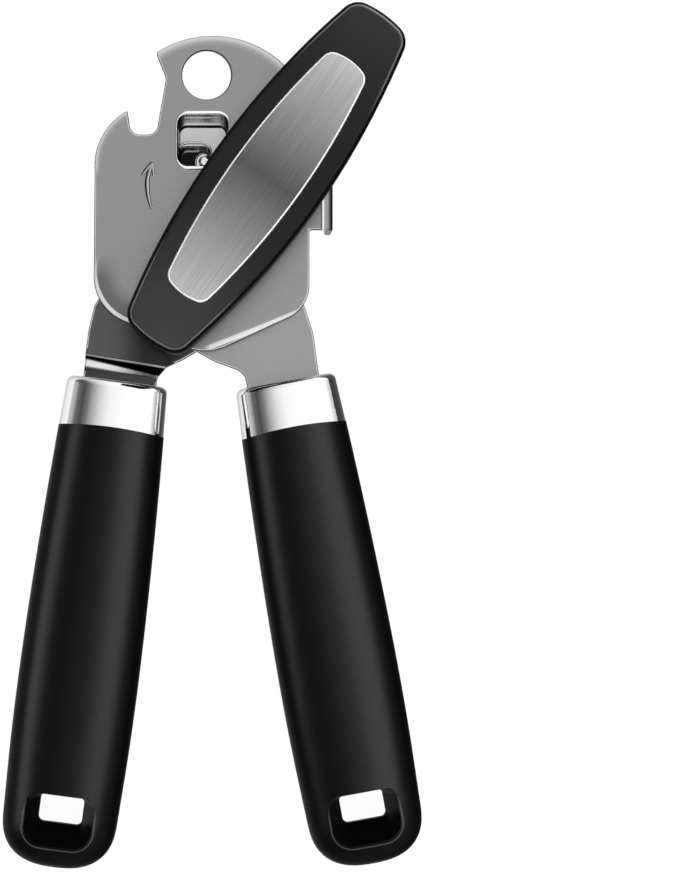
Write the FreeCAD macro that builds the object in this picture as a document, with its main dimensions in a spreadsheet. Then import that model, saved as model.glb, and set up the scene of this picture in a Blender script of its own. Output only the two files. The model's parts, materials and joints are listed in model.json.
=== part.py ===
"""Manual can opener of the eccentric-bushing kind, lying on its back.

Design frame: X to the right and Y towards the head, with the knob's axis at x = y = 0 and the
front face of the head plate at z = 0, +Z towards the person who looks at the knob. The sheet's
knob_axis_x, knob_axis_y and plate_level then place the whole design so that the object's own
box is centred on X and Y and rests on z = 0.
"""
import FreeCAD, Part
import math
import os
import Sketcher

DIMENSIONS = [
    # alias, value in mm or degrees, meaning
    ("knob_axis_x", 13.09, "knob axis from the middle of the object's box, along X"),
    ("knob_axis_y", 64.27, "knob axis from the middle of the object's box, along Y"),
    ("plate_level", 13.23, "front face of the head plate above the surface it lies on"),
    ("plate_thick", 1.6, "sheet steel of both plates"),
    ("hang_hole_radius", 6.1, "hang hole in the head"),
    ("hang_hole_x", -14.5, "hang hole centre"),
    ("hang_hole_y", 28.0, "hang hole centre"),
    ("window_left", -21.65, "inside of the pressed window"),
    ("window_right", -9.15, "inside of the pressed window"),
    ("window_bottom", 5.2, "inside of the pressed window"),
    ("window_top", 18.2, "inside of the pressed window"),
    ("window_wall", 1.2, "wall of the pressed window"),
    ("window_depth", 3.6, "front plate to the window's upper floor"),
    ("pocket_depth", 6.0, "front plate to the cutter pocket's floor"),
    ("pocket_right", -13.4, "inside of the cutter pocket"),
    ("pocket_top", 11.4, "inside of the cutter pocket"),
    ("flange_right", 17.22, "outer face of the bent side flange"),
    ("flange_bottom", -10.75, "lower end of the bent side flange"),
    ("flange_top", 15.0, "upper end of the bent side flange"),
    ("flange_bend", 3.0, "outer radius of the flange's bend"),
    ("flange_reach", 13.2, "front plate to the flange's back edge"),
    ("rear_gap", 3.4, "front plate to the front face of the rear plate"),
    ("pivot_x", 1.69, "lever pivot from the knob's axis"),
    ("pivot_y", 3.62, "lever pivot from the knob's axis"),
    ("journal_radius", 7.75, "bushing journal in the front plate"),
    ("journal_play", 0.05, "radial play of the journal"),
    ("journal_reach", 0.15, "journal past the back of the front plate"),
    ("bushing_flange_radius", 9.2, "flange in front of the front plate"),
    ("bushing_flange_front", 1.5, "front face of the bushing's flange"),
    ("neck_radius", 4.4, "bushing neck through the rear plate"),
    ("ring_radius", 7.0, "rear plate round the neck"),
    ("washer_radius", 6.6, "retaining washer"),
    ("washer_thick", 0.6, "retaining washer"),
    ("shaft_radius", 2.55, "drive shaft in the bushing"),
    ("shaft_play", 0.05, "radial play of the drive shaft"),
    ("shaft_square", 4.1, "square drive end of the shaft"),
    ("shaft_front", 8.9, "front plate to the shaft's front end"),
    ("shaft_head_radius", 3.2, "riveted rear head of the shaft"),
    ("shaft_head_thick", 1.2, "riveted rear head of the shaft"),
    ("screw_radius", 1.25, "screw in the shaft's front end"),
    ("screw_depth", 5.2, "screw hole in the shaft's front end"),
    ("feed_seat_radius", 2.1, "shaft inside the feed wheel"),
    ("feed_radius", 6.2, "feed wheel over its teeth"),
    ("feed_tooth_depth", 0.9, "feed wheel teeth"),
    ("feed_teeth", 20, "feed wheel teeth"),
    ("feed_thick", 3.0, "feed wheel"),
    ("feed_washer_thick", 0.4, "washer in front of the feed wheel"),
    ("feed_washer_radius", 4.4, "washer in front of the feed wheel"),
    ("stack_gap", 0.1, "play between the retaining washer and the feed washer"),
    ("cutter_x", -15.0, "cutter stud from the knob's axis"),
    ("cutter_y", 7.0, "cutter stud from the knob's axis"),
    ("cutter_radius", 10.4, "cutting edge"),
    ("stud_radius", 2.0, "cutter stud"),
    ("stud_play", 0.05, "radial play of the cutter wheel"),
    ("stud_head_radius", 3.6, "rear head of the cutter stud"),
    ("stud_head_front", 11.0, "front plate to the front of the stud's head"),
    ("cutter_spacer_radius", 3.4, "spacer between the pocket's floor and the cutter"),
    ("cutter_spacer_thick", 0.6, "spacer between the pocket's floor and the cutter"),
    ("cutter_washer_radius", 3.9, "washer between the cutter and the stud's head"),
    ("cutter_washer_thick", 0.45, "washer between the cutter and the stud's head"),
    ("knob_tilt", -35.9, "long axis of the knob, turned from +Y"),
    ("knob_length", 97.4, "turning knob"),
    ("knob_width", 28.1, "turning knob at its middle"),
    ("knob_side_radius", 194.0, "curve of the knob's long sides"),
    ("knob_end_rise", 1.3, "curve of the knob's ends"),
    ("knob_under", 5.2, "front plate to the knob's underside"),
    ("knob_front", 18.5, "front plate to the knob's front face"),
    ("knob_corner", 5.0, "knob corners seen from the front"),
    ("knob_rim", 1.6, "rounding of the knob's front rim"),
    ("inlay_length", 69.6, "metal inlay"),
    ("inlay_width", 17.9, "metal inlay at its middle"),
    ("inlay_side_radius", 178.0, "curve of the inlay's long sides"),
    ("inlay_chamfer", 0.45, "bevel round the inlay's front face"),
    ("inlay_corner", 3.2, "inlay corners"),
    ("inlay_thick", 1.0, "metal inlay"),
    ("inlay_play", 0.12, "gap round and under the inlay"),
    ("insert_back", 3.9, "front plate to the back of the knob's insert"),
    ("insert_flange_radius", 7.0, "flange of the knob's insert, under the knob"),
    ("insert_stem_radius", 5.4, "insert inside the knob"),
    ("insert_stem_length", 3.7, "insert inside the knob"),
    ("screw_clearance", 1.7, "screw hole through the knob"),
    ("screw_head_hole", 3.3, "hole for the screw's head, under the inlay"),
    ("screw_head_depth", 6.3, "knob's front face to the seat of the screw's head"),
    ("left_joint_x", -38.5, "left collar and grip meet here"),
    ("left_joint_y", -60.9, "left collar and grip meet here"),
    ("left_tilt", -7.52, "left handle, turned from -Y"),
    ("right_joint_x", 7.5, "right collar and grip meet here"),
    ("right_joint_y", -60.8, "right collar and grip meet here"),
    ("right_tilt", 10.34, "right handle, turned from -Y"),
    ("handle_level", -4.2, "middle plane of both handles"),
    ("grip_length", 110.7, "grip from the joint to its end"),
    ("grip_half_thick", 9.0, "half the grip's thickness"),
    ("grip_half_joint", 13.35, "half width at the joint"),
    ("grip_half_widest", 15.15, "half width at the widest place"),
    ("grip_half_cap", 14.5, "half width where the rounded end starts"),
    ("grip_widest_at", 65.0, "joint to the widest place"),
    ("grip_cap_at", 97.0, "joint to the start of the rounded end"),
    ("slot_top", 91.3, "joint to the near edge of the hanging slot"),
    ("slot_bottom", 105.1, "joint to the far edge of the hanging slot"),
    ("slot_half_width", 9.2, "hanging slot at the grip's faces"),
    ("throat_top", 92.8, "joint to the near edge of the slot's throat"),
    ("throat_bottom", 99.7, "joint to the far edge of the slot's throat"),
    ("throat_half_width", 5.5, "slot's throat"),
    ("throat_half_depth", 0.8, "straight part of the slot's throat"),
    ("collar_length", 12.5, "collar along the handle"),
    ("collar_half_width", 13.25, "collar at the joint"),
    ("collar_half_top", 12.6, "collar at its upper end"),
    ("collar_half_thick", 9.0, "collar at the joint"),
    ("collar_wall", 1.2, "collar side wall"),
    ("collar_shoulder", 1.8, "rounding of the collar's upper end"),
    ("joint_curve", 94.0, "curve of the line between collar and grip"),
    ("joint_rise", 0.9, "joint line at its middle above its ends"),
    ("tongue_half_width", 6.5, "tang inside the grip"),
    ("tongue_end", 52.0, "joint to the tang's end inside the grip"),
    ("tang_outer", 8.75, "tang edge away from the other handle"),
    ("tang_inner", 9.65, "tang edge towards the other handle"),
    ("core_half_width", 10.0, "grip core inside the grip"),
    ("core_half_thick", 6.0, "grip core inside the grip"),
    ("core_end", 86.0, "joint to the core's end"),
    ("pin_radius", 1.5, "cross pin through core and tang"),
    ("pin_at", 5.0, "joint to the cross pin, towards the head"),
    ("fit_gap", 0.1, "gap between parts that are slid together"),
]
SECTION_POWER = 2.4   # superellipse of the handle's cross-section
CAP_POWER = 2.6       # superellipse of the grip's rounded end

doc = FreeCAD.newDocument("can_opener")
sheet = doc.addObject("Spreadsheet::Sheet", "Dims")
value = {}
for row, (alias, number, meaning) in enumerate(DIMENSIONS, start=1):
    sheet.set("A%d" % row, meaning)
    sheet.set("B%d" % row, str(number))
    sheet.setAlias("B%d" % row, alias)
    value[alias] = number
doc.recompute()
sub_parts = []


# ---------------------------------------------------------------- outlines
def point(x, y):
    return FreeCAD.Vector(x, y, 0)


def corner_arc(before, corner, after, radius):
    """Tangent arc of that radius where two straight sides meet: its start, middle and end."""
    side_in = (before - corner).normalize()
    side_out = (after - corner).normalize()
    half = side_in.getAngle(side_out) / 2
    reach = radius / math.tan(half)
    middle = (side_in + side_out).normalize()
    start = corner + side_in * reach
    end = corner + side_out * reach
    centre = corner + middle * (radius / math.sin(half))
    return start, centre - middle * radius, end


def outline(corners):
    """Closed chain of lines and arcs. A corner is (x, y, radius), or (x, y, 0, through) where the
    side after it is an arc through that point."""
    joints = []
    count = len(corners)
    for index, corner in enumerate(corners):
        here = point(corner[0], corner[1])
        if corner[2] > 0:
            before = point(*corners[index - 1][:2])
            after = point(*corners[(index + 1) % count][:2])
            joints.append(corner_arc(before, here, after, corner[2]))
        else:
            joints.append((here, None, here))
    edges = []
    for index, corner in enumerate(corners):
        start, middle, end = joints[index]
        if middle is not None:
            edges.append(Part.Arc(start, middle, end))
        target = joints[(index + 1) % count][0]
        if len(corner) > 3:
            edges.append(Part.Arc(end, point(*corner[3]), target))
        elif end.distanceToPoint(target) > 1e-6:
            edges.append(Part.LineSegment(end, target))
    return edges


def box_outline(left, right, bottom, top, radius):
    corners = [(left, bottom), (right, bottom), (right, top), (left, top)]
    return outline([(x, y, radius) for x, y in corners])


def lens_outline(length, width, side_radius, end_rise):
    """Long shape with gently bowed sides and ends, its long axis along Y."""
    end_y = length / 2 - end_rise
    end_x = width / 2 - (side_radius - math.sqrt(side_radius ** 2 - end_y ** 2))
    return outline([(end_x, -end_y, 0, (width / 2, 0)), (end_x, end_y, 0, (0, length / 2)),
                    (-end_x, end_y, 0, (-width / 2, 0)), (-end_x, -end_y, 0, (0, -length / 2))])


# ---------------------------------------------------------------- building blocks
def place_in_design(item):
    """The sheet's offsets carry the design frame to the object's own frame."""
    item.setExpression("Placement.Base.x", "Dims.knob_axis_x")
    item.setExpression("Placement.Base.y", "Dims.knob_axis_y")
    item.setExpression("Placement.Base.z", "Dims.plate_level")


def place_in_handle(item, side):
    """Handle frame: origin at the joint of collar and grip, Y towards the head."""
    item.setExpression("Placement.Base.x", "Dims.knob_axis_x + Dims.%s_joint_x" % side)
    item.setExpression("Placement.Base.y", "Dims.knob_axis_y + Dims.%s_joint_y" % side)
    item.setExpression("Placement.Base.z", "Dims.plate_level + Dims.handle_level")
    item.Placement.Rotation = FreeCAD.Rotation(FreeCAD.Vector(0, 0, 1), value[side + "_tilt"])


def new_body(name):
    body = doc.addObject("PartDesign::Body", name)
    body.Label = name
    return body


def new_sketch(body, name, edges, level="0", role="XY_Plane"):
    plane = next(item for item in body.Origin.OriginFeatures if item.Role == role)
    sketch = body.newObject("Sketcher::SketchObject", name)
    sketch.AttachmentSupport = [(plane, "")]
    sketch.MapMode = "FlatFace"
    sketch.setExpression("AttachmentOffset.Base.z", level)
    sketch.addGeometry(edges, False)
    return sketch


def circle_sketch(body, name, circles, level="0"):
    """Each circle is (x, y, radius), all three written as sheet expressions."""
    sketch = new_sketch(body, name, [], level)
    up = FreeCAD.Vector(0, 0, 1)
    for index, (x, y, radius) in enumerate(circles):
        sketch.addGeometry(Part.Circle(point(1, 1), up, 1), False)
        bind(sketch, Sketcher.Constraint("DistanceX", -1, 1, index, 3, 1), "x%d" % index, x)
        bind(sketch, Sketcher.Constraint("DistanceY", -1, 1, index, 3, 1), "y%d" % index, y)
        bind(sketch, Sketcher.Constraint("Radius", index, 1), "radius%d" % index, radius)
    return sketch


def bind(sketch, constraint, name, expression):
    index = sketch.addConstraint(constraint)
    sketch.renameConstraint(index, name)
    sketch.setExpression("Constraints.%s" % name, expression)


def pad(body, sketch, length, downwards=False):
    feature = body.newObject("PartDesign::Pad", sketch.Name + "_pad")
    feature.Profile = sketch
    feature.Reversed = downwards
    feature.setExpression("Length", length)
    doc.recompute()
    return feature


def pocket(body, sketch, length, upwards=False):
    """Cut that must remove material: a pocket that points away from the solid shows no error."""
    before = body.Shape.Volume
    feature = body.newObject("PartDesign::Pocket", sketch.Name + "_cut")
    feature.Profile = sketch
    feature.Reversed = upwards
    feature.setExpression("Length", length)
    doc.recompute()
    if body.Shape.Volume > before - 1e-3:
        raise RuntimeError("%s removes nothing" % feature.Name)
    return feature


def turn(body, sketch, cut=False):
    """Full revolution of an XZ profile about the sketch's vertical axis."""
    feature = body.newObject("PartDesign::Groove" if cut else "PartDesign::Revolution", sketch.Name + "_turn")
    feature.Profile = sketch
    feature.ReferenceAxis = (sketch, ["V_Axis"])
    feature.Angle = 360
    doc.recompute()
    return feature


def finish(item, name):
    item.Label = name
    sub_parts.append(item)
    return item


def washer(name, outer, inner, back, thick):
    """Flat ring; outer and inner are (x, y, radius) circles, back is its rear level."""
    body = new_body(name)
    sketch = circle_sketch(body, name + "_rings", [outer, inner], back)
    pad(body, sketch, thick)
    place_in_design(body)
    return finish(body, name)


def edges_at(shape, test):
    return ["Edge%d" % number for number, edge in enumerate(shape.Edges, start=1) if test(edge)]


def fillet(body, feature, radius, test):
    names = edges_at(feature.Shape, test)
    rounding = body.newObject("PartDesign::Fillet", feature.Name + "_round")
    rounding.Base = (feature, names)
    rounding.setExpression("Radius", radius)
    doc.recompute()
    return rounding


PIVOT = ("Dims.pivot_x", "Dims.pivot_y")
STUD = ("Dims.cutter_x", "Dims.cutter_y")
HANG_HOLE = ("Dims.hang_hole_x", "Dims.hang_hole_y")
KNOB_AXIS = ("0", "0")


# ---------------------------------------------------------------- front plate
def head_outline():
    """Head with the bottle-opener notch at its left and the V-shaped lower edge."""
    right = value["flange_right"] - 6.0
    flange_top = value["flange_top"]
    return outline([
        (-25.4, 34.6, 0, (-13.0, 37.8)),       # dome over the hang hole
        (right + 1.4, flange_top, 0),
        (right, flange_top, 0),
        (right, -30.33, 9.0),
        (-14.74, -42.28, 13.0),
        (-42.8, -30.38, 12.0),
        (-42.5, 4.2, 0, (-40.4, 13.2)),        # outer curve of the lower hook
        (-34.3, 19.1, 0),
        (-33.4, 13.1, 2.6),
        (-27.1, 13.1, 2.6),
        (-24.65, 27.2, 3.0),
        (-27.2, 33.6, 1.0)])                   # upper hook


def left_tang_outline():
    """Plan of the left tang in the design frame, from under the head to the collar."""
    return outline([
        (-40.6, -26.2, 0),
        (-42.7, -29.6, 3.0),
        (-44.2, -36.0, 12.0),
        (-46.6, -56.0, 0),
        (-26.6, -56.0, 0),
        (-27.2, -48.0, 3.0),
        (-24.6, -45.1, 3.0),
        (-20.6, -43.3, 8.0),
        (-16.9, -41.15, 0),
        (-16.4, -38.8, 0),
        (-20.8, -37.6, 2.0),
        (-34.6, -31.6, 4.0)])


def tang_plan(side):
    """Plan of the part of a tang that lies in the collar and the grip, in the handle frame."""
    outer, inner = value["tang_outer"], value["tang_inner"]
    left, right = (-outer, inner) if side == "left" else (-inner, outer)
    half, low = value["tongue_half_width"], -value["tongue_end"]
    shoulder, top = 8.4, 14.5
    return outline([(left, shoulder, 1.0), (left, top, 0), (right, top, 0), (right, shoulder, 1.0),
                    (half, shoulder, 0), (half, low, 3.0), (-half, low, 3.0), (-half, shoulder, 0)])


def left_tang_steps():
    """Side view of the left tang in the handle frame: flat, step down, flat. First axis is Y."""
    thick = value["plate_thick"]
    upper = -thick - value["handle_level"]
    lower = thick / 2
    step_start, step_end, head_end, tip = 18.0, 14.4, 40.0, -60.0
    return outline([
        (head_end, upper, 0), (head_end, upper - thick, 0), (step_start - 0.3, upper - thick, 1.2),
        (step_end - 0.3, lower - thick, 1.2), (tip, lower - thick, 0), (tip, lower, 0),
        (step_end, lower, 1.2), (step_start, upper, 1.2)])


def make_head():
    """Flat head with its pressed window, cutter pocket, hang hole and journal hole."""
    body = new_body("head_pressing")
    pad(body, new_sketch(body, "head_plan", head_outline()), "Dims.plate_thick", downwards=True)
    wall = value["window_wall"]
    left, right = value["window_left"], value["window_right"]
    low, high = value["window_bottom"], value["window_top"]
    outer = box_outline(left - wall, right + wall, low - wall, high + wall, 3.4)
    outer = new_sketch(body, "window_outside", outer)
    pad(body, outer, "Dims.window_depth + Dims.window_wall", downwards=True)
    pocket_right, pocket_top = value["pocket_right"], value["pocket_top"]
    outer = box_outline(left - wall, pocket_right + wall, low - wall, pocket_top + wall, 3.4)
    outer = new_sketch(body, "pocket_outside", outer)
    pad(body, outer, "Dims.pocket_depth + Dims.window_wall", downwards=True)
    window = new_sketch(body, "window_inside", box_outline(left, right, low, high, 2.4))
    pocket(body, window, "Dims.window_depth")
    inside = new_sketch(body, "pocket_inside", box_outline(left, pocket_right, low, pocket_top, 2.4))
    pocket(body, inside, "Dims.pocket_depth")
    hole = circle_sketch(body, "hang_hole", [HANG_HOLE + ("Dims.hang_hole_radius",)])
    pocket(body, hole, "Dims.plate_thick")
    journal = circle_sketch(body, "journal_hole", [PIVOT + ("Dims.journal_radius + Dims.journal_play",)])
    pocket(body, journal, "Dims.plate_thick")
    stud = circle_sketch(body, "stud_hole", [STUD + ("Dims.stud_radius",)])
    pocket(body, stud, "Dims.pocket_depth + 2 * Dims.window_wall")
    return body


def make_flange():
    """Side flange: flat, bent back through a right angle. Drawn in XZ, padded along Y."""
    thick, bend = value["plate_thick"], value["flange_bend"]
    right, reach = value["flange_right"], value["flange_reach"]
    centre_x = right - bend
    slant = math.sqrt(0.5)
    inner = bend - thick
    profile = outline([
        (9.8, 0, 0), (9.8, -thick, 0),
        (centre_x, -thick, 0, (centre_x + inner * slant, -bend + inner * slant)),
        (right - thick, -bend, 0), (right - thick, -reach, 0), (right, -reach, 0),
        (right, -bend, 0, (centre_x + bend * slant, -bend + bend * slant)), (centre_x, 0, 0)])
    body = new_body("flange_pressing")
    sketch = new_sketch(body, "flange_section", profile, "-Dims.flange_top", role="XZ_Plane")
    pad(body, sketch, "Dims.flange_top - Dims.flange_bottom")
    return body


def make_left_tang():
    """Stepped tang, welded behind the head: its side view crossed with its plan."""
    half_wide, upper_deep, lower_deep = 30, 12, 9.6
    side = new_body("tang_side_view")
    sketch = new_sketch(side, "tang_steps", left_tang_steps(), "%g" % -half_wide, role="YZ_Plane")
    pad(side, sketch, "%g" % (2 * half_wide))
    place_in_handle(side, "left")
    upper = new_body("tang_upper_plan")
    pad(upper, new_sketch(upper, "tang_upper", left_tang_outline(), "%g" % -upper_deep), "%g" % upper_deep)
    place_in_design(upper)
    lower = new_body("tang_lower_plan")
    sketch = new_sketch(lower, "tang_lower", tang_plan("left"), "%g" % (-lower_deep / 2))
    pad(lower, sketch, "%g" % lower_deep)
    place_in_handle(lower, "left")
    doc.recompute()
    kept_upper = doc.addObject("Part::Common", "tang_upper_kept")
    kept_upper.Base, kept_upper.Tool = upper, above_collar("left")
    plan = doc.addObject("Part::Fuse", "tang_plan")
    plan.Base, plan.Tool = kept_upper, lower
    blank = doc.addObject("Part::Common", "tang_blank")
    blank.Base, blank.Tool = side, plan
    tang = doc.addObject("Part::Cut", "left_tang")
    tang.Base, tang.Tool = blank, pin_hole("left")
    doc.recompute()
    return finish(tang, "left_tang")


def above_collar(side):
    """Large box over everything that lies above a collar, in its handle frame."""
    wide, long, deep = 80, 60, 40
    box = doc.addObject("Part::Box", side + "_above_collar")
    box.Length, box.Width, box.Height = wide, long, deep
    low = value["collar_length"] + value["fit_gap"]
    shift = FreeCAD.Placement(FreeCAD.Vector(-wide / 2, low, -deep / 2), FreeCAD.Rotation())
    box.Placement = handle_placement(side).multiply(shift)
    return box


def handle_placement(side):
    base = FreeCAD.Vector(value["knob_axis_x"] + value[side + "_joint_x"],
                          value["knob_axis_y"] + value[side + "_joint_y"],
                          value["plate_level"] + value["handle_level"])
    return FreeCAD.Placement(base, FreeCAD.Rotation(FreeCAD.Vector(0, 0, 1), value[side + "_tilt"]))


def pin_hole(side):
    """Cross pin hole through a tang."""
    hole = doc.addObject("Part::Cylinder", side + "_tang_hole")
    hole.setExpression("Radius", "Dims.pin_radius")
    length = 20
    hole.Height = length
    hole.Placement = handle_placement(side).multiply(
        FreeCAD.Placement(FreeCAD.Vector(0, value["pin_at"], -length / 2), FreeCAD.Rotation()))
    return hole


def make_front_plate():
    head, flange = make_head(), make_flange()
    place_in_design(head)
    place_in_design(flange)
    plate = doc.addObject("Part::MultiFuse", "front_plate")
    plate.Shapes = [head, flange]
    plate.Refine = True
    doc.recompute()
    return finish(plate, "front_plate")


# ---------------------------------------------------------------- rear plate
def rear_outline():
    """Lever plate: ring round the bushing's neck, a waist that clears the flange, and the tang."""
    ring = value["ring_radius"]
    return outline([
        (-ring, 0, 0, (0, ring)),
        (ring, 0, 0),
        (5.6, -9.5, 5.0),
        (3.0, -15.6, 3.0),
        (5.6, -23.4, 8.0),
        (10.2, -29.6, 4.0),
        (12.4, -36.5, 14.0),
        (14.8, -55.0, 0),
        (-3.6, -55.0, 0),
        (-4.6, -47.6, 3.0),
        (-6.4, -45.8, 2.5),
        (-12.4, -43.6, 8.0),
        (-16.95, -41.1, 0),
        (-17.2, -36.0, 3.0),
        (-12.5, -19.0, 12.0)])


def make_rear_plate():
    upper = new_body("rear_plan")
    level = "-Dims.rear_gap"
    pad(upper, new_sketch(upper, "rear_upper", rear_outline(), level), "Dims.plate_thick", downwards=True)
    neck = circle_sketch(upper, "rear_neck_hole", [KNOB_AXIS + ("Dims.neck_radius",)], level)
    pocket(upper, neck, "Dims.plate_thick")
    place_in_design(upper)
    lower = new_body("rear_tongue")
    half = "-Dims.plate_thick / 2"
    pad(lower, new_sketch(lower, "rear_lower", tang_plan("right"), half), "Dims.plate_thick")
    place_in_handle(lower, "right")
    doc.recompute()
    kept = doc.addObject("Part::Common", "rear_upper_kept")
    kept.Base, kept.Tool = upper, above_collar("right")
    fused = doc.addObject("Part::MultiFuse", "rear_plate_blank")
    fused.Shapes = [kept, lower]
    fused.Refine = True
    cut = doc.addObject("Part::Cut", "rear_plate")
    cut.Base, cut.Tool = fused, pin_hole("right")
    doc.recompute()
    return finish(cut, "rear_plate")


# ---------------------------------------------------------------- handles
def section(half_width, half_thick, y):
    """Closed superellipse in the plane at that Y of the handle frame."""
    steps = 32
    points = []
    for step in range(steps):
        angle = 2 * math.pi * step / steps
        across, up = math.cos(angle), math.sin(angle)
        reach = (abs(across) ** SECTION_POWER + abs(up) ** SECTION_POWER) ** (-1 / SECTION_POWER)
        points.append(FreeCAD.Vector(half_width * reach * across, y, half_thick * reach * up))
    curve = Part.BSplineCurve()
    curve.interpolate(Points=points, PeriodicFlag=True)
    return Part.Wire([curve.toShape()])


def grip_half_width(place):
    """Half width of the grip that far from the joint, before its rounded end."""
    widest, at = value["grip_half_widest"], value["grip_widest_at"]
    if place < at:
        return widest - (widest - value["grip_half_joint"]) * ((at - place) / at) ** 1.7
    return widest - (widest - value["grip_half_cap"]) * ((place - at) / (value["grip_cap_at"] - at)) ** 2


def grip_sections(start):
    """Evenly spaced sections from a little above the joint, then those of the rounded end."""
    half = value["grip_half_thick"]
    cap_at, length = value["grip_cap_at"], value["grip_length"]
    spans = 7
    sections = []
    for step in range(spans + 1):
        place = start + (cap_at - start) * step / spans
        sections.append(section(grip_half_width(place), half, -place))
    for degrees in (22, 38, 51, 62, 71, 78, 84, 88):
        turned = math.radians(degrees)
        place = cap_at + (length - cap_at) * math.sin(turned) ** (2 / CAP_POWER)
        scale = math.cos(turned) ** (2 / CAP_POWER)
        sections.append(section(value["grip_half_cap"] * scale, half * scale, -place))
    return sections


def joint_cylinder():
    """Below this upright cylinder's surface is grip, above it is collar."""
    radius, tall = value["joint_curve"], 40
    centre = FreeCAD.Vector(0, value["joint_rise"] - radius, -tall / 2)
    return Part.makeCylinder(radius, tall, centre)


def slot_cutter():
    """Hanging slot: a straight throat that opens out to both faces of the grip."""
    half, face = value["throat_half_depth"], value["grip_half_thick"] + 0.4

    def ring(half_width, near, far, near_radius, far_radius, level):
        corners = [(-half_width, -far, far_radius), (half_width, -far, far_radius),
                   (half_width, -near, near_radius), (-half_width, -near, near_radius)]
        wire = Part.Wire([edge.toShape() for edge in outline(corners)])
        wire.translate(FreeCAD.Vector(0, 0, level))
        return wire

    def throat(level):
        return ring(value["throat_half_width"], value["throat_top"], value["throat_bottom"], 1.0, 1.4, level)

    def mouth(level):
        return ring(value["slot_half_width"], value["slot_top"], value["slot_bottom"], 2.6, 5.0, level)

    front = Part.makeLoft([throat(half), mouth(face)], True, True)
    back = Part.makeLoft([throat(-half), mouth(-face)], True, True)
    middle = Part.Face(throat(-half)).extrude(FreeCAD.Vector(0, 0, 2 * half))
    return front.fuse([middle, back])


def core_hollow(gap):
    """Space of the grip core inside the grip, grown by a gap."""
    width, thick = value["core_half_width"] + gap, value["core_half_thick"] + gap
    low = -value["core_end"] - gap
    return Part.makeLoft([section(width, thick, 2.0), section(width, thick, low)], True, True)


def tang_channel(side):
    """Flat channel for tang and tongue in the core, and for the tang in the collar's top."""
    gap = value["fit_gap"]
    half = value["tongue_half_width"] + gap
    thick = value["plate_thick"] / 2 + gap
    low = -value["tongue_end"] - gap
    wide = max(value["tang_outer"], value["tang_inner"]) + gap
    tongue = Part.makeBox(2 * half, 20 - low, 2 * thick, FreeCAD.Vector(-half, low, -thick))
    shoulder = Part.makeBox(2 * wide, 12, 2 * thick, FreeCAD.Vector(-wide, 8.3, -thick))
    return tongue.fuse(shoulder)


def add_handle_piece(side, kind, shape):
    piece = doc.addObject("Part::Feature", "%s_%s" % (side, kind))
    piece.Shape = shape
    piece.Placement = handle_placement(side)
    return finish(piece, "%s_%s" % (side, kind))


def make_grip(side):
    joint = joint_cylinder()
    skin = Part.makeLoft(grip_sections(-4.0), True, False).common(joint)
    skin = skin.cut(core_hollow(value["fit_gap"])).cut(slot_cutter())
    return add_handle_piece(side, "grip", skin)


def make_core(side):
    """Stiff core: a body inside the grip and a neck inside the collar."""
    wall, gap = value["collar_wall"], value["fit_gap"]
    width = value["collar_half_top"] - wall - gap
    thick = value["collar_half_thick"] - wall - gap
    top = value["collar_length"] - wall - gap
    low = value["joint_rise"] + gap
    neck = Part.makeLoft([section(width, thick, low), section(width, thick, top)], True, True)
    body = core_hollow(0)
    core = body.fuse(neck).cut(tang_channel(side))
    pin = Part.makeCylinder(value["pin_radius"], 40, FreeCAD.Vector(0, value["pin_at"], -20))
    return add_handle_piece(side, "grip_core", core.cut(pin).removeSplitter())


def make_collar(side):
    """Polished collar: a deep cap over the core's neck, slotted for the tang."""
    wall, top = value["collar_wall"], value["collar_length"]
    thick = value["collar_half_thick"]
    outside = Part.makeLoft([section(value["collar_half_width"] + 0.05, thick, -1.0),
                             section(value["collar_half_top"], thick - 0.5, top)], True, True)
    rim = [edge for edge in outside.Edges if edge.BoundBox.YMin > top - 0.01]
    outside = outside.makeFillet(value["collar_shoulder"], rim)
    inside = Part.makeLoft([section(value["collar_half_top"] - wall, thick - wall, -2.0),
                            section(value["collar_half_top"] - wall, thick - wall, top - wall)], True, True)
    collar = outside.cut(inside).cut(joint_cylinder()).cut(tang_channel(side))
    return add_handle_piece(side, "ferrule", collar)


def make_pin(side):
    """Cross pin through core and tang, hidden by the collar."""
    half = value["collar_half_thick"] - value["collar_wall"] - 0.3
    pin = doc.addObject("Part::Cylinder", side + "_tang_pin")
    pin.setExpression("Radius", "Dims.pin_radius")
    pin.Height = 2 * half
    pin.Placement = handle_placement(side).multiply(
        FreeCAD.Placement(FreeCAD.Vector(0, value["pin_at"], -half), FreeCAD.Rotation()))
    return finish(pin, side + "_tang_pin")


# ---------------------------------------------------------------- bushing and drive
def make_bushing():
    """Journal round the lever's pivot, with the shaft's bore and the neck off its centre."""
    body = new_body("eccentric_bushing")
    neck_back = "-(Dims.rear_gap + Dims.plate_thick + Dims.washer_thick)"
    neck = circle_sketch(body, "bushing_neck", [KNOB_AXIS + ("Dims.neck_radius",)], neck_back)
    pad(body, neck, "Dims.rear_gap + Dims.washer_thick - Dims.journal_reach")
    journal = circle_sketch(body, "bushing_journal", [PIVOT + ("Dims.journal_radius",)],
                                "-(Dims.plate_thick + Dims.journal_reach)")
    pad(body, journal, "Dims.plate_thick + Dims.journal_reach + Dims.fit_gap")
    flange = circle_sketch(body, "bushing_flange", [PIVOT + ("Dims.bushing_flange_radius",)], "Dims.fit_gap")
    pad(body, flange, "Dims.bushing_flange_front - Dims.fit_gap")
    bore = circle_sketch(body, "bushing_bore", [KNOB_AXIS + ("Dims.shaft_radius + Dims.shaft_play",)],
                             "Dims.bushing_flange_front")
    pocket(body, bore, "Dims.bushing_flange_front + Dims.rear_gap + Dims.plate_thick + Dims.washer_thick")
    place_in_design(body)
    return finish(body, "eccentric_bushing")


def xz_sketch(body, name, corners):
    return new_sketch(body, name, outline(corners), role="XZ_Plane")


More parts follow.
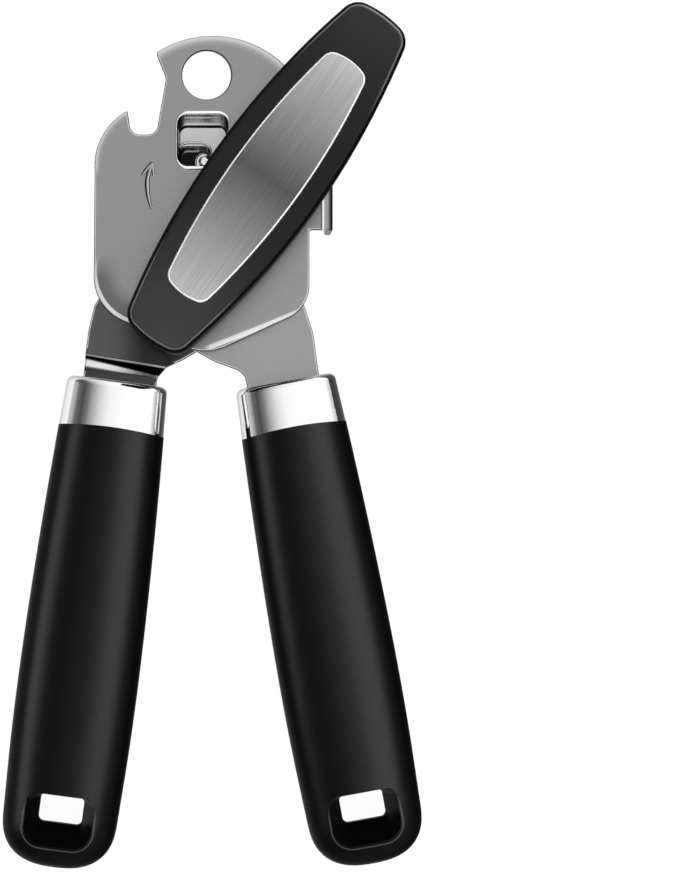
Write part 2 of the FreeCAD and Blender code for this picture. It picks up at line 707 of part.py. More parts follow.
def make_shaft():
    """Square drive end, round journal, seat for the feed wheel and a riveted rear head."""
    neck_back = -(value["rear_gap"] + value["plate_thick"] + value["washer_thick"])
    seat_front = neck_back - value["stack_gap"] / 2
    seat_back = neck_back - value["stack_gap"] - value["feed_washer_thick"] - value["feed_thick"]
    head, head_back = value["shaft_head_radius"], seat_back - value["shaft_head_thick"]
    round_off = head_back + 0.4
    radius, seat = value["shaft_radius"], value["feed_seat_radius"]
    square_foot = value["bushing_flange_front"] + value["fit_gap"]
    body = new_body("drive_shaft")
    turn(body, xz_sketch(body, "shaft_profile", [
        (0, square_foot, 0), (radius, square_foot, 0), (radius, seat_front, 0), (seat, seat_front, 0),
        (seat, seat_back, 0), (head, seat_back, 0), (head, round_off, 0), (head - 0.8, head_back, 0),
        (0, head_back, 0)]))
    half = value["shaft_square"] / 2
    square = box_outline(-half, half, -half, half, 0.3)
    square = new_sketch(body, "shaft_square_end", square, "%g" % square_foot)
    pad(body, square, "Dims.shaft_front - %g" % square_foot)
    hole = circle_sketch(body, "shaft_screw_hole", [KNOB_AXIS + ("Dims.screw_radius",)], "Dims.shaft_front")
    pocket(body, hole, "Dims.screw_depth")
    place_in_design(body)
    return finish(body, "drive_shaft")


def make_feed_wheel():
    """Straight teeth that grip the can's rim from below."""
    teeth = int(value["feed_teeth"])
    outer, root = value["feed_radius"], value["feed_radius"] - value["feed_tooth_depth"]
    corners = []
    for tooth in range(teeth):
        start = 2 * math.pi * tooth / teeth
        for share, radius in ((0.0, root), (0.22, root), (0.5, outer), (0.72, outer)):
            angle = start + 2 * math.pi * share / teeth
            corners.append((radius * math.cos(angle), radius * math.sin(angle), 0))
    neck_back = value["rear_gap"] + value["plate_thick"] + value["washer_thick"]
    front = neck_back + value["stack_gap"] + value["feed_washer_thick"]
    body = new_body("feed_wheel")
    ring = new_sketch(body, "feed_teeth", outline(corners), "%g" % -front)
    pad(body, ring, "Dims.feed_thick", downwards=True)
    seat = circle_sketch(body, "feed_seat", [KNOB_AXIS + ("Dims.feed_seat_radius",)], "%g" % -front)
    pocket(body, seat, "Dims.feed_thick")
    place_in_design(body)
    return finish(body, "feed_wheel")


def make_washers():
    stack = "Dims.rear_gap + Dims.plate_thick + Dims.washer_thick"
    washer("spacer_washer", PIVOT + ("Dims.bushing_flange_radius",), KNOB_AXIS + ("Dims.neck_radius",),
           "-Dims.rear_gap", "Dims.rear_gap - Dims.plate_thick - Dims.journal_reach")
    washer("retaining_washer", KNOB_AXIS + ("Dims.washer_radius",), KNOB_AXIS + ("Dims.neck_radius",),
           "-(%s)" % stack, "Dims.washer_thick")
    washer("feed_washer", KNOB_AXIS + ("Dims.feed_washer_radius",), KNOB_AXIS + ("Dims.feed_seat_radius",),
           "-(%s + Dims.stack_gap + Dims.feed_washer_thick)" % stack, "Dims.feed_washer_thick")
    washer("cutter_spacer", STUD + ("Dims.cutter_spacer_radius",), STUD + ("Dims.stud_radius",),
           "-(Dims.pocket_depth + Dims.window_wall + Dims.cutter_spacer_thick)", "Dims.cutter_spacer_thick")
    washer("cutter_washer", STUD + ("Dims.cutter_washer_radius",), STUD + ("Dims.stud_radius",),
           "-Dims.stud_head_front", "Dims.cutter_washer_thick")


def make_spring_washer():
    """Coned spring between the bushing's flange and the knob's insert."""
    body = new_body("spring_washer")
    turn(body, xz_sketch(body, "spring_profile", [
        (3.4, 3.3, 0), (3.4, 3.85, 0), (4.0, 3.85, 0), (7.3, 2.2, 0), (7.3, 1.62, 0), (6.7, 1.62, 0)]))
    place_in_design(body)
    return finish(body, "spring_washer")


# ---------------------------------------------------------------- cutter
def place_on_stud(body):
    body.setExpression("Placement.Base.x", "Dims.knob_axis_x + Dims.cutter_x")
    body.setExpression("Placement.Base.y", "Dims.knob_axis_y + Dims.cutter_y")
    body.setExpression("Placement.Base.z", "Dims.plate_level")


def make_cutter():
    """Cutting disc with a sharp rim and a hub that holds it away from the plates."""
    bore = value["stud_radius"] + value["stud_play"]
    edge = value["cutter_radius"]
    hub_front, disc_front, disc_back = -7.9, -9.4, -10.4
    body = new_body("cutter_wheel")
    turn(body, xz_sketch(body, "cutter_profile", [
        (bore, hub_front, 0), (4.2, hub_front, 0), (4.2, disc_front, 0), (edge - 1.6, disc_front, 0),
        (edge, disc_back + 0.35, 0), (edge - 0.7, disc_back, 0), (bore, disc_back, 0)]))
    place_on_stud(body)
    return finish(body, "cutter_wheel")


def make_stud():
    """Headed stud, riveted over in front of the pocket's floor."""
    radius, head = value["stud_radius"], value["stud_head_radius"]
    floor, head_front = -value["pocket_depth"], -value["stud_head_front"]
    head_back = head_front - 1.4
    rivet, rivet_front = 1.6, floor + 1.3
    body = new_body("cutter_stud")
    turn(body, xz_sketch(body, "stud_profile", [
        (0, rivet_front, 0), (rivet - 0.7, rivet_front, 0), (rivet, rivet_front - 0.4, 0), (rivet, floor, 0),
        (radius, floor, 0), (radius, head_front, 0), (head, head_front, 0), (head, head_back + 0.7, 0),
        (head - 0.9, head_back, 0), (0, head_back, 0)]))
    place_on_stud(body)
    return finish(body, "cutter_stud")


# ---------------------------------------------------------------- knob
def place_on_knob(body):
    place_in_design(body)
    body.Placement.Rotation = FreeCAD.Rotation(FreeCAD.Vector(0, 0, 1), value["knob_tilt"])


def upright(edge):
    low, high = edge.BoundBox.ZMin, edge.BoundBox.ZMax
    return high - low > 0.5 and edge.BoundBox.DiagonalLength < high - low + 1e-3


def make_knob_body():
    body = new_body("knob_body")
    blank = lens_outline(value["knob_length"], value["knob_width"], value["knob_side_radius"],
                         value["knob_end_rise"])
    thick = "Dims.knob_front - Dims.knob_under"
    blank = pad(body, new_sketch(body, "knob_plan", blank, "Dims.knob_under"), thick)
    rounded = fillet(body, blank, "Dims.knob_corner", upright)
    front = value["knob_front"]
    rounded = fillet(body, rounded, "Dims.knob_rim", lambda edge: edge.BoundBox.ZMin > front - 0.01)
    under = value["knob_under"]
    fillet(body, rounded, "Dims.knob_rim / 2", lambda edge: edge.BoundBox.ZMax < under + 0.01)
    play = value["inlay_play"]
    seat = new_body("inlay_seat")
    seat_plan = lens_outline(value["inlay_length"] + 2 * play, value["inlay_width"] + 2 * play,
                             value["inlay_side_radius"], value["knob_end_rise"])
    seat_pad = pad(seat, new_sketch(seat, "seat_plan", seat_plan, "Dims.knob_front"),
                   "Dims.inlay_thick + Dims.inlay_play", downwards=True)
    fillet(seat, seat_pad, "Dims.inlay_corner", upright)
    insert_hole = circle_sketch(body, "insert_hole", [KNOB_AXIS + ("Dims.insert_stem_radius",)],
                                    "Dims.knob_under")
    pocket(body, insert_hole, "Dims.insert_stem_length + Dims.fit_gap", upwards=True)
    screw_hole = circle_sketch(body, "screw_hole", [KNOB_AXIS + ("Dims.screw_clearance",)], "Dims.knob_front")
    pocket(body, screw_hole, "Dims.knob_front - Dims.knob_under")
    head_hole = circle_sketch(body, "screw_head_hole", [KNOB_AXIS + ("Dims.screw_head_hole",)],
                                  "Dims.knob_front")
    pocket(body, head_hole, "Dims.screw_head_depth")
    knob = doc.addObject("Part::Cut", "knob_with_seat")
    knob.Base, knob.Tool = body, seat
    doc.recompute()
    place_on_knob(knob)
    body.Label = "knob_blank"
    return finish(knob, "knob_body")


def make_inlay():
    body = new_body("knob_inlay")
    plan = lens_outline(value["inlay_length"], value["inlay_width"], value["inlay_side_radius"],
                        value["knob_end_rise"])
    plan = new_sketch(body, "inlay_plan", plan, "Dims.knob_front")
    blank = pad(body, plan, "Dims.inlay_thick", downwards=True)
    rounded = fillet(body, blank, "Dims.inlay_corner", upright)
    front = value["knob_front"]
    names = edges_at(rounded.Shape, lambda edge: edge.BoundBox.ZMin > front - 0.01)
    bevel = body.newObject("PartDesign::Chamfer", "inlay_bevel")
    bevel.Base = (rounded, names)
    bevel.setExpression("Size", "Dims.inlay_chamfer")
    doc.recompute()
    place_on_knob(body)
    return finish(body, "knob_inlay")


def make_insert():
    """Metal driver in the knob that carries the turning load to the shaft's square end."""
    body = new_body("knob_insert")
    flange = circle_sketch(body, "insert_flange", [KNOB_AXIS + ("Dims.insert_flange_radius",)],
                               "Dims.insert_back")
    pad(body, flange, "Dims.knob_under - Dims.insert_back")
    stem = circle_sketch(body, "insert_stem", [KNOB_AXIS + ("Dims.insert_stem_radius",)], "Dims.knob_under")
    pad(body, stem, "Dims.insert_stem_length")
    half = value["shaft_square"] / 2 + value["fit_gap"] / 2
    front = "Dims.knob_under + Dims.insert_stem_length"
    hole = new_sketch(body, "insert_square", box_outline(-half, half, -half, half, 0.2), front)
    pocket(body, hole, "Dims.knob_under + Dims.insert_stem_length - Dims.insert_back")
    place_in_design(body)
    return finish(body, "knob_insert")


def make_screw():
    """Pan-head screw under the inlay, holding the knob on the shaft."""
    body = new_body("knob_screw")
    seat, radius = value["knob_front"] - value["screw_head_depth"], value["screw_radius"]
    top, head, tip = seat + 2.2, 3.0, value["shaft_front"] - value["screw_depth"] + 0.3
    turn(body, xz_sketch(body, "screw_profile", [
        (0, top, 0), (head - 0.6, top, 0), (head, top - 0.8, 0), (head, seat, 0), (radius, seat, 0),
        (radius, tip, 0), (0, tip, 0)]))
    for name, half_long, half_wide in (("screw_cross_a", 1.6, 0.35), ("screw_cross_b", 0.35, 1.6)):
        cross = box_outline(-half_long, half_long, -half_wide, half_wide, 0.1)
        pocket(body, new_sketch(body, name, cross, "%g" % top), "1.2")
    place_in_design(body)
    return finish(body, "knob_screw")


# ---------------------------------------------------------------- build, check, write
make_front_plate()
make_left_tang()
make_rear_plate()
for side in ("left", "right"):
    make_grip(side)
    make_core(side)
    make_collar(side)
    make_pin(side)
make_bushing()
make_washers()
make_spring_washer()
make_shaft()
make_feed_wheel()
make_cutter()
make_stud()
make_knob_body()
make_inlay()
make_insert()
make_screw()
doc.recompute()

failed = [item.Label for item in doc.Objects if {"Invalid", "Error"} & set(item.State)]
for item in sub_parts:
    if item.Shape.isNull() or not item.Shape.isValid() or not item.Shape.Solids:
        failed.append(item.Label)
if failed:
    raise RuntimeError("not built: " + ", ".join(failed))

os.makedirs("parts", exist_ok=True)
whole = FreeCAD.BoundBox()
for item in sub_parts:
    item.Shape.exportStep(os.path.join("parts", item.Label + ".step"))
    box = item.Shape.optimalBoundingBox()
    whole.add(box)
    print("%-20s solids %d  volume %9.2f  z %7.2f to %6.2f" % (
        item.Label, len(item.Shape.Solids), item.Shape.Volume, box.ZMin, box.ZMax))
print("box x %.2f %.2f  y %.2f %.2f  z %.2f %.2f" % (
    whole.XMin, whole.XMax, whole.YMin, whole.YMax, whole.ZMin, whole.ZMax))
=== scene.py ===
"""Looks of the manual can opener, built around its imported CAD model, which is the fixed frame."""

import json
import math

import bpy
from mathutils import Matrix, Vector


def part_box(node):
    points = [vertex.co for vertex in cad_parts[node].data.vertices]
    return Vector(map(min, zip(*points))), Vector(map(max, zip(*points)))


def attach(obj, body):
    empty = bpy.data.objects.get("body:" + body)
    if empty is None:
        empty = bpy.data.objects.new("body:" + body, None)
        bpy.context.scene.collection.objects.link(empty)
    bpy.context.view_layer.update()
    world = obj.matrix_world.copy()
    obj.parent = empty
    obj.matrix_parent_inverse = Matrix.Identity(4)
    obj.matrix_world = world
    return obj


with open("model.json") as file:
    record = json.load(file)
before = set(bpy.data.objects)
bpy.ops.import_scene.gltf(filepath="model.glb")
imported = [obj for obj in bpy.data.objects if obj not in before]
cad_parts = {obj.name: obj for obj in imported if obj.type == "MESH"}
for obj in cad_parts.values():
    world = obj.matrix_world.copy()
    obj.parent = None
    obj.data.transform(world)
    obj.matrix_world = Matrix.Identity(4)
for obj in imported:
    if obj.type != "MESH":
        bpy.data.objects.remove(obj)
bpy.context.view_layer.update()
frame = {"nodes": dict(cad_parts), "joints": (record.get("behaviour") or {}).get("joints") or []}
nodes = frame["nodes"]
MM = 0.001
joints = {joint["name"]: Vector(joint["pos_m"]) for joint in frame["joints"]}
knob_axis = joints["crank_spin"]
PLATE_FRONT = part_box("front_plate")[1].z


# ---------------------------------------------------------------- camera, floor and light
def add_camera():
    """Straight above the opener, with the shift that sets it at the left of the picture.

    The picture's height and its middle are measured on the plates' front face."""
    distance = 0.5
    picture_height = 219.75 * MM
    middle_right = 31.825 * MM
    middle_up = 1.1 * MM
    data = bpy.data.cameras.new("camera")
    data.sensor_width = 36.0
    data.lens = distance / picture_height * data.sensor_width
    data.shift_x = middle_right / picture_height
    data.shift_y = middle_up / picture_height
    camera = bpy.data.objects.new("camera", data)
    camera.location = (0, 0, PLATE_FRONT + distance)
    bpy.context.scene.collection.objects.link(camera)
    bpy.context.scene.camera = camera


def new_object(name, mesh):
    item = bpy.data.objects.new(name, mesh)
    bpy.context.scene.collection.objects.link(item)
    return item


def add_floor():
    """Plain white floor that glows, so that it hardly darkens under the opener."""
    half = 3.0
    glow_strength = 0.97
    matte_grey = 0.1
    corners = [(-half, -half, 0), (half, -half, 0), (half, half, 0), (-half, half, 0)]
    mesh = bpy.data.meshes.new("floor")
    mesh.from_pydata(corners, [], [(0, 1, 2, 3)])
    floor = new_object("floor", mesh)
    material = bpy.data.materials.new("floor_white")
    material.use_nodes = True
    tree = material.node_tree
    tree.nodes.clear()
    out = tree.nodes.new("ShaderNodeOutputMaterial")
    glow = tree.nodes.new("ShaderNodeEmission")
    glow.inputs["Color"].default_value = (1, 1, 1, 1)
    glow.inputs["Strength"].default_value = glow_strength
    matte = tree.nodes.new("ShaderNodeBsdfDiffuse")
    matte.inputs["Color"].default_value = (matte_grey, matte_grey, matte_grey, 1)
    both = tree.nodes.new("ShaderNodeAddShader")
    tree.links.new(glow.outputs[0], both.inputs[0])
    tree.links.new(matte.outputs[0], both.inputs[1])
    tree.links.new(both.outputs[0], out.inputs["Surface"])
    mesh.materials.append(material)
    floor.visible_glossy = False


# Brightness of the studio against the direction's X, for directions above and below the horizon.
# Above it, a dark screen stands at the left.
ABOVE = [(-1.0, 0.62), (-0.987, 0.58), (-0.87, 0.14), (-0.71, 0.07), (-0.55, 0.18), (-0.40, 0.41),
         (-0.26, 0.65), (-0.15, 0.82), (-0.05, 0.95), (0.1, 1.06), (0.9, 1.06), (0.97, 0.6), (1.0, 0.3)]
BELOW = [(-1.0, 0.95), (-0.6, 0.7), (-0.2, 0.5), (0.1, 0.5), (0.45, 0.12), (0.9, 0.05), (1.0, 0.05)]


def set_world():
    """Studio that changes with the direction; the camera itself sees plain white."""
    world = bpy.data.worlds.new("studio")
    bpy.context.scene.world = world
    world.use_nodes = True
    tree = world.node_tree
    tree.nodes.clear()
    out = tree.nodes.new("ShaderNodeOutputWorld")
    seen = tree.nodes.new("ShaderNodeBackground")
    seen.inputs["Color"].default_value = (1, 1, 1, 1)
    coordinates = tree.nodes.new("ShaderNodeTexCoord")
    split = tree.nodes.new("ShaderNodeSeparateXYZ")
    tree.links.new(coordinates.outputs["Generated"], split.inputs[0])
    place = tree.nodes.new("ShaderNodeMath")
    place.operation = "MULTIPLY_ADD"
    place.inputs[1].default_value = 0.5
    place.inputs[2].default_value = 0.5
    tree.links.new(split.outputs["X"], place.inputs[0])

    def half_sphere(stops):
        brightest = max(level for _, level in stops)
        ramp = tree.nodes.new("ShaderNodeValToRGB")
        elements = ramp.color_ramp.elements
        while len(elements) < len(stops):
            elements.new(0.5)
        for element, (x, level) in zip(elements, stops):
            element.position = 0.5 + 0.5 * x
            element.color = (level / brightest, level / brightest, level / brightest, 1)
        light = tree.nodes.new("ShaderNodeBackground")
        light.inputs["Strength"].default_value = brightest
        tree.links.new(place.outputs[0], ramp.inputs[0])
        tree.links.new(ramp.outputs["Color"], light.inputs["Color"])
        return light

    upwards = tree.nodes.new("ShaderNodeMath")
    upwards.operation = "GREATER_THAN"
    upwards.inputs[1].default_value = 0.0
    tree.links.new(split.outputs["Z"], upwards.inputs[0])
    halves = tree.nodes.new("ShaderNodeMixShader")
    tree.links.new(upwards.outputs[0], halves.inputs[0])
    tree.links.new(half_sphere(BELOW).outputs[0], halves.inputs[1])
    tree.links.new(half_sphere(ABOVE).outputs[0], halves.inputs[2])
    path = tree.nodes.new("ShaderNodeLightPath")
    mix = tree.nodes.new("ShaderNodeMixShader")
    tree.links.new(path.outputs["Is Camera Ray"], mix.inputs[0])
    tree.links.new(halves.outputs[0], mix.inputs[1])
    tree.links.new(seen.outputs[0], mix.inputs[2])
    tree.links.new(mix.outputs[0], out.inputs["Surface"])


def lit_only(light, receivers):
    """The light falls on these objects alone, as a strip held close to them would."""
    group = bpy.data.collections.new(light.name + "_receivers")
    for item in receivers:
        group.objects.link(item)
    light.light_linking.receiver_collection = group


def add_strip_light(name, lean, spread, strength, receivers):
    """Distant strip along the opener, leaning by that many degrees from overhead towards +X."""
    data = bpy.data.lights.new(name, "SUN")
    data.energy = strength
    data.angle = math.radians(spread)
    light = bpy.data.objects.new(name, data)
    light.rotation_euler = (0, math.radians(lean), 0)
    bpy.context.scene.collection.objects.link(light)
    lit_only(light, receivers)


def add_panel_light(name, place, aim, size, strength, receivers):
    """Square panel at a place, turned towards its aim."""
    data = bpy.data.lights.new(name, "AREA")
    data.energy = strength
    data.size = size
    light = bpy.data.objects.new(name, data)
    light.location = place
    light.rotation_euler = (aim - place).to_track_quat("-Z", "Y").to_euler()
    light.visible_camera = False
    bpy.context.scene.collection.objects.link(light)
    lit_only(light, receivers)


# ---------------------------------------------------------------- materials
class Shader:
    """A Principled material with short calls for the nodes that its detail needs."""

    def __init__(self, name, colour, metallic, roughness):
        self.material = bpy.data.materials.new(name)
        self.material.use_nodes = True
        self.tree = self.material.node_tree
        self.main = self.tree.nodes["Principled BSDF"]
        self.main.inputs["Base Color"].default_value = (*colour, 1)
        self.main.inputs["Metallic"].default_value = metallic
        self.main.inputs["Roughness"].default_value = roughness
        coordinates = self.node("ShaderNodeTexCoord")
        self.place = coordinates.outputs["Object"]
        self.normal = coordinates.outputs["Normal"]

    def node(self, kind, **settings):
        item = self.tree.nodes.new(kind)
        for key, setting in settings.items():
            setattr(item, key, setting)
        return item

    def put(self, socket, source):
        """Wires an output to a socket, or sets the number there."""
        if isinstance(source, bpy.types.NodeSocket):
            self.tree.links.new(source, socket)
        elif socket.type == "RGBA":
            socket.default_value = (source, source, source, 1)
        else:
            socket.default_value = source

    def feed(self, item, **inputs):
        for key, source in inputs.items():
            self.put(item.inputs[key], source)

    def mapped(self, scale, turned=0.0, origin=(0, 0, 0)):
        """Object coordinates from an origin, turned about Z, then scaled."""
        shift = self.node("ShaderNodeVectorMath", operation="SUBTRACT")
        self.tree.links.new(self.place, shift.inputs[0])
        shift.inputs[1].default_value = origin
        turn = self.node("ShaderNodeMapping", vector_type="POINT")
        self.tree.links.new(shift.outputs[0], turn.inputs["Vector"])
        turn.inputs["Rotation"].default_value = (0, 0, turned)
        stretch = self.node("ShaderNodeMapping", vector_type="POINT")
        self.tree.links.new(turn.outputs[0], stretch.inputs["Vector"])
        stretch.inputs["Scale"].default_value = scale
        return stretch.outputs[0]

    def noise(self, vector, scale, detail=3.0, rough=0.5):
        item = self.node("ShaderNodeTexNoise")
        self.feed(item, Vector=vector, Scale=scale, Detail=detail, Roughness=rough)
        return item.outputs["Fac"]

    def ramp(self, source, stops):
        """Ramp of greys; a stop is (place, grey)."""
        item = self.node("ShaderNodeValToRGB")
        elements = item.color_ramp.elements
        while len(elements) < len(stops):
            elements.new(0.5)
        for element, (place, level) in zip(elements, stops):
            element.position = place
            element.color = (level, level, level, 1)
        self.tree.links.new(source, item.inputs[0])
        return item.outputs["Color"]

    def bump(self, height, strength, distance):
        item = self.node("ShaderNodeBump")
        self.feed(item, Height=height, Strength=strength, Distance=distance)
        return item.outputs["Normal"]

    def link(self, source, name):
        self.tree.links.new(source, self.main.inputs[name])

    def math(self, operation, *sources):
        item = self.node("ShaderNodeMath", operation=operation)
        for socket, source in zip(item.inputs, sources):
            self.put(socket, source)
        return item.outputs[0]

    def axis(self, vector, name):
        split = self.node("ShaderNodeSeparateXYZ")
        self.tree.links.new(vector, split.inputs[0])
        return split.outputs[name]

    def mix(self, kind, share, first, second):
        item = self.node("ShaderNodeMixRGB", blend_type=kind)
        for socket, source in zip(item.inputs, (share, first, second)):
            self.put(socket, source)
        return item.outputs[0]

    def blend(self, share, low, high):
        return self.mix("MIX", share, low, high)

    def multiply(self, first, second):
        return self.mix("MULTIPLY", 1.0, first, second)

    def invert(self, share):
        return self.math("SUBTRACT", 1.0, share)

    def length(self, vector):
        item = self.node("ShaderNodeVectorMath", operation="LENGTH")
        self.tree.links.new(vector, item.inputs[0])
        return item.outputs["Value"]

    def clamp(self, source):
        item = self.node("ShaderNodeClamp")
        self.put(item.inputs["Value"], source)
        return item.outputs[0]

    def between(self, source, low, high, soft):
        """1 between two numbers, with a soft start and end."""
        rising = self.clamp(self.math("DIVIDE", self.math("SUBTRACT", source, low), soft))
        falling = self.clamp(self.math("DIVIDE", self.math("SUBTRACT", high, source), soft))
        return self.math("MULTIPLY", rising, falling)

    def lean(self):
        """Height of the surface's normal: 1 on a flat face, less on an edge that rolls over."""
        return self.axis(self.normal, "Z")


# Greys of the painted shade along a sheet's steep edge faces and of the painted highlight on its rounded
# edge.
OUTLINE_SHADE_GREY = 0.03
ROLLED_HIGHLIGHT_GREY = 0.97


def plate_steel(name, grey=0.32, layers=(), no_highlight=None, bent=None):
    """Satin sheet with a painted highlight on its rounded edge, inside a thin line of painted shade.

    Each layer is painted light and shade that multiplies the face; one mask marks edges that get
    no painted highlight, and bent marks curved faces, which have neither painted line."""
    shader = Shader(name, (grey, grey, grey), 1.0, 0.3)
    even = shader.mapped((1, 1, 1))
    fine = shader.noise(even, 1500.0, 4.0, 0.6)
    cloudy = shader.noise(even, 35.0, 2.0)
    face = shader.ramp(cloudy, [(0.3, grey * 0.97), (0.7, grey * 1.03)])
    for layer in layers:
        face = shader.multiply(face, layer(shader))
    lean = shader.lean()
    # Steep faces of a rounded edge get a painted dark line of shade, and the band above them a painted
    # highlight in near white, not metal.
    painted_outline = shader.ramp(lean, [(0.04, 0.0), (0.12, 1.0), (0.78, 1.0), (0.85, 0.0)])
    painted_highlight = shader.ramp(lean, [(0.78, 0.0), (0.86, 1.0), (0.972, 1.0), (0.99, 0.0)])
    if no_highlight is not None:
        painted_highlight = shader.math("MULTIPLY", painted_highlight, shader.invert(no_highlight(shader)))
    if bent is not None:
        flat = shader.invert(bent(shader))
        painted_highlight = shader.math("MULTIPLY", painted_highlight, flat)
        painted_outline = shader.math("MULTIPLY", painted_outline, flat)
    outlined = shader.blend(painted_outline, face, OUTLINE_SHADE_GREY)
    shader.link(shader.blend(painted_highlight, outlined, ROLLED_HIGHLIGHT_GREY), "Base Color")
    shader.link(shader.invert(painted_highlight), "Metallic")
    shader.link(shader.ramp(fine, [(0.25, 0.26), (0.75, 0.36)]), "Roughness")
    shader.link(shader.bump(fine, 0.05, 0.00004), "Normal")
    return shader.material


def turned_metal(name, grey, roughness):
    """Ground or turned steel with fine grain drawn out along its axis."""
    shader = Shader(name, (grey, grey, grey), 1.0, roughness)
    fine = shader.noise(shader.mapped((1, 1, 0.1)), 2200.0, 3.0)
    shader.link(shader.ramp(fine, [(0.25, grey * 0.9), (0.75, grey * 1.05)]), "Base Color")
    shader.link(shader.ramp(fine, [(0.25, roughness * 0.8), (0.75, roughness * 1.25)]), "Roughness")
    return shader.material


def polished_metal(name, grey, roughness):
    """Plated metal with a faint haze."""
    shader = Shader(name, (grey, grey, grey), 1.0, roughness)
    haze = shader.noise(shader.mapped((1, 1, 1)), 140.0, 3.0)
    shader.link(shader.ramp(haze, [(0.3, roughness * 0.8), (0.7, roughness * 1.3)]), "Roughness")
    shader.link(shader.ramp(haze, [(0.2, grey * 0.98), (0.8, grey)]), "Base Color")
    return shader.material


def black_plastic(name, grey, roughness, specular, grain, edge=None):
    """Moulded black with a fine spark-eroded grain; edge(shader, tone) paints light and shade into the tone
    at the rims.
    """
    shader = Shader(name, (grey, grey, grey), 0.0, roughness)
    shader.main.inputs["Specular IOR Level"].default_value = specular
    even = shader.mapped((1, 1, 1))
    fine = shader.noise(even, 2600.0, 3.0, 0.7)
    cloudy = shader.noise(even, 60.0, 2.0)
    tone = shader.ramp(cloudy, [(0.3, grey * 0.85), (0.7, grey * 1.15)])
    shader.link(edge(shader, tone) if edge else tone, "Base Color")
    shader.link(shader.ramp(fine, [(0.2, roughness * 0.92), (0.8, roughness * 1.08)]), "Roughness")
    shader.link(shader.bump(fine, grain, 0.00004), "Normal")
    return shader.material


# The knob's tilt, and how far its brushed lines are drawn out.
KNOB_TILT = math.radians(35.9)
INLAY_HALF_LENGTH = 34.7 * MM
LINE_STRETCH = 0.016


def share_along_knob(shader):
    """0 across the knob's axis and 1 at the inlay's ends."""
    on_knob = shader.mapped((1, 1, 1), KNOB_TILT, tuple(knob_axis))
    distance = shader.math("ABSOLUTE", shader.axis(on_knob, "Y"))
    return shader.math("MULTIPLY", distance, 1 / INLAY_HALF_LENGTH)


def knob_painted_rim(shader, tone):
    """Painted shade on the knob's rounded edge, with a thin painted highlight line inside it, stronger
    towards the knob's ends.
    """
    line_tone = shader.ramp(share_along_knob(shader), [(0.75, 0.008), (1.0, 0.06)])
    lean = shader.lean()
    line = shader.ramp(lean, [(0.85, 0.0), (0.9, 1.0), (0.95, 1.0), (0.98, 0.0)])
    rim = shader.ramp(lean, [(0.85, 1.0), (0.9, 0.0)])
    return shader.blend(line, shader.blend(rim, tone, 0.0003), line_tone)


def brushed_inlay():
    """Brushed lines along the knob, with a painted reflection that darkens across its middle, and a painted
    highlight on its bevelled edge.
    """
    shader = Shader("brushed_inlay", (0.4, 0.4, 0.4), 1.0, 0.3)
    lines = shader.mapped((1, LINE_STRETCH, 1), KNOB_TILT, tuple(knob_axis))
    streaks = shader.noise(lines, 3200.0, 4.0, 0.7)
    broad = shader.noise(lines, 420.0, 2.0, 0.5)
    # Painted reflection: darker across the knob's middle, lighter towards the inlay's ends.
    body = shader.ramp(share_along_knob(shader),
                       [(0.0, 0.115), (0.22, 0.2), (0.45, 0.31), (0.75, 0.46), (1.0, 0.6)])
    face = shader.multiply(body, shader.ramp(streaks, [(0.25, 0.7), (0.75, 1.05)]))
    # Painted highlight in near white on the bevelled edge.
    painted_highlight = shader.ramp(shader.lean(), [(0.5, 0.0), (0.6, 1.0), (0.93, 1.0), (0.985, 0.0)])
    shader.link(shader.blend(painted_highlight, face, 1.0), "Base Color")
    shader.link(shader.invert(painted_highlight), "Metallic")
    shader.link(shader.ramp(broad, [(0.3, 0.24), (0.7, 0.36)]), "Roughness")
    shader.link(shader.bump(streaks, 0.15, 0.00003), "Normal")
    return shader.material


# ---------------------------------------------------------------- painted light and shade of the plates, in the design's mm
def circle_through(first, middle, last):
    """Centre and radius of the arc through three points."""
    (ax, ay), (bx, by), (cx, cy) = first, middle, last
    d = 2 * (ax * (by - cy) + bx * (cy - ay) + cx * (ay - by))
    a, b, c = ax * ax + ay * ay, bx * bx + by * by, cx * cx + cy * cy
    x = (a * (by - cy) + b * (cy - ay) + c * (ay - by)) / d
    y = (a * (cx - bx) + b * (ax - cx) + c * (bx - ax)) / d
    return (x, y), math.hypot(ax - x, ay - y)


# Arcs along the plates' rims, and places, in mm from the knob's axis.
DOME = circle_through((-25.4, 34.6), (-13.0, 37.8), (12.62, 15.0))
HOOK = circle_through((-42.5, 4.2), (-40.4, 13.2), (-34.3, 19.1))
CORNER = circle_through((-42.6, -24.4), (-39.6, -30.2), (-33.7, -34.1))
FOOT = circle_through((-13.7, -40.4), (-2.7, -36.15), (8.2, -31.7))
HANG_HOLE = (-14.5, 28.0)
HANG_HOLE_EDGE = 7.0
# X where the right bend starts, and of the flange's outer side.
BEND_START = 14.22
FLANGE_SIDE = 17.22
# Depths of the recess's two steps, the depth that its painted light and shade run to, and the X where it
# ends.
WINDOW_DEPTH = 3.62
POCKET_DEPTH = 6.02
SHADING_DEPTH = 8.0
RECESS_END = -8.0
WINDOW = {"left": -21.65, "right": -9.15, "bottom": 5.2, "top": 18.2}
POCKET = {"left": -21.65, "right": -13.4, "bottom": 5.2, "top": 11.4}


def design_point(x, y, z=0.0):
    """A place in mm from the knob's axis and the plates' front face, as a place in the scene."""
    return Vector((knob_axis.x + x * MM, knob_axis.y + y * MM, PLATE_FRONT + z * MM))


def soft_box(shader, left, right, bottom, top, soft):
    """1 inside a rectangle of the design's mm."""
    low, high = design_point(left, bottom), design_point(right, top)
    across = shader.between(shader.axis(shader.place, "X"), low.x, high.x, soft * MM)
    up = shader.between(shader.axis(shader.place, "Y"), low.y, high.y, soft * MM)
    return shader.math("MULTIPLY", across, up)


